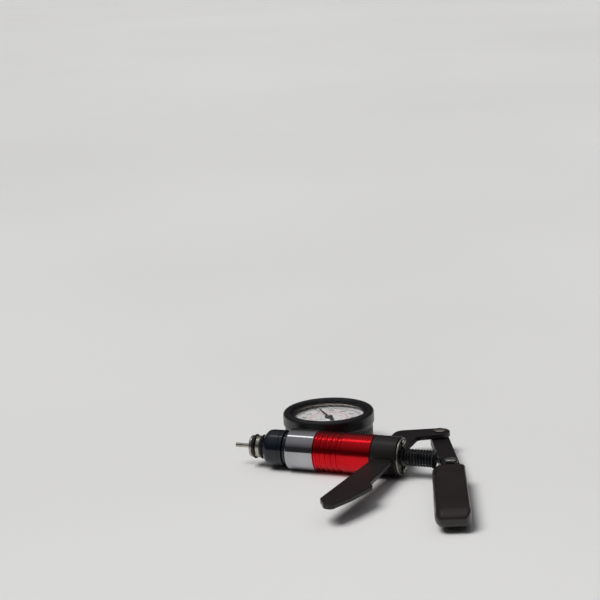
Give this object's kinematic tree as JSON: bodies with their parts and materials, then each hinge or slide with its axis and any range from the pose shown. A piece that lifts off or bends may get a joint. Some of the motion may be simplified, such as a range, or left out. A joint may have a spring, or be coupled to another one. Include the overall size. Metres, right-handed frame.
{
  "type": "hand vacuum pump",
  "caption": "Pistol-type hand vacuum pump with a squeeze lever, spring-returned piston, selector knob and side gauge in a rubber boot, lying on its side.",
  "frame": {"origin": "middle of the bounding box in X and Y, on the surface the pump lies on", "axes": "+X along the barrel from the hose nozzle to the lever, +Y from the barrel to the gauge, +Z the way the gauge faces"},
  "size_m": [0.2166, 0.2036, 0.0315],
  "materials": {
    "red_anodised": "red anodised, polished",
    "chrome": "polished",
    "plated_steel": "zinc plated",
    "brass": "turned",
    "aluminium": "turned",
    "black_paint": "satin black powder coat",
    "black_spring": "black oxide",
    "black_plastic": "gloss",
    "nylon": "black, as moulded",
    "grip": "satin moulded",
    "boot": "satin moulded",
    "seal": "matt",
    "dial": "white print",
    "pointer": "black",
    "lens": "clear"
  },
  "bodies": {
    "pump_body": {"nozzle": "plated_steel", "hose_fitting": "plated_steel", "fitting_o_ring_front": "seal", "fitting_o_ring_rear": "seal", "selector_spindle": "brass", "neck_ring": "black_plastic", "head": "chrome", "barrel_o_ring": "seal", "barrel": "red_anodised", "valve_block": "aluminium", "valve_ball": "plated_steel", "valve_flap": "seal", "collar_frame": "black_paint", "rear_plate": "plated_steel", "plate_screw_upper": "plated_steel", "plate_screw_lower": "plated_steel", "rod_bush": "nylon", "return_spring": "black_spring", "pivot_pin": "plated_steel", "pivot_clip": "plated_steel", "gauge_boot": "boot", "gauge_case": "plated_steel", "gauge_bezel": "black_paint", "gauge_lens": "lens", "gauge_dial": "dial", "gauge_movement": "brass", "pressure_tube": "brass", "gauge_stem": "brass"},
    "knob": {"selector_knob": "black_plastic"},
    "lever_arm": {"lever": "black_paint", "lever_grip": "grip"},
    "piston_set": {"piston_rod": "black_spring", "piston": "aluminium", "cup_seal": "seal", "piston_washer": "plated_steel", "piston_nut": "brass", "spring_washer": "black_spring", "rod_pin": "plated_steel", "rod_pin_clip": "plated_steel"},
    "pointer": {"pointer_shaft": "brass", "needle": "pointer"}
  },
  "joints": [
    {"name": "lever_squeeze", "type": "hinge", "parent": "pump_body", "child": "lever_arm", "pos_m": [0.03403, 0.0753, 0.0155], "axis": [0, 0, -1], "range_deg": [0, 10.6], "stiffness_Nm_per_rad": 0.9, "springref_deg": -17.19},
    {"name": "piston_slide", "type": "slide", "parent": "pump_body", "child": "piston_set", "axis": [-1, 0, 0], "range_m": [0, 0.0126], "deforming": ["return_spring"]},
    {"name": "selector_turn", "type": "hinge", "parent": "pump_body", "child": "knob", "pos_m": [-0.07477, 0.0148, 0.0155], "axis": [1, 0, 0], "range_deg": [0, 90]},
    {"name": "pointer_turn", "type": "hinge", "parent": "pump_body", "child": "pointer", "pos_m": [-0.05227, 0.0668, 0.0255], "axis": [0, 0, -1], "range_deg": [-90, 180], "stiffness_Nm_per_rad": 0.0002}
  ],
  "couplings": [
    {"joint": "piston_slide", "follows": "lever_squeeze", "m_per_rad": 0.0676}
  ]
}
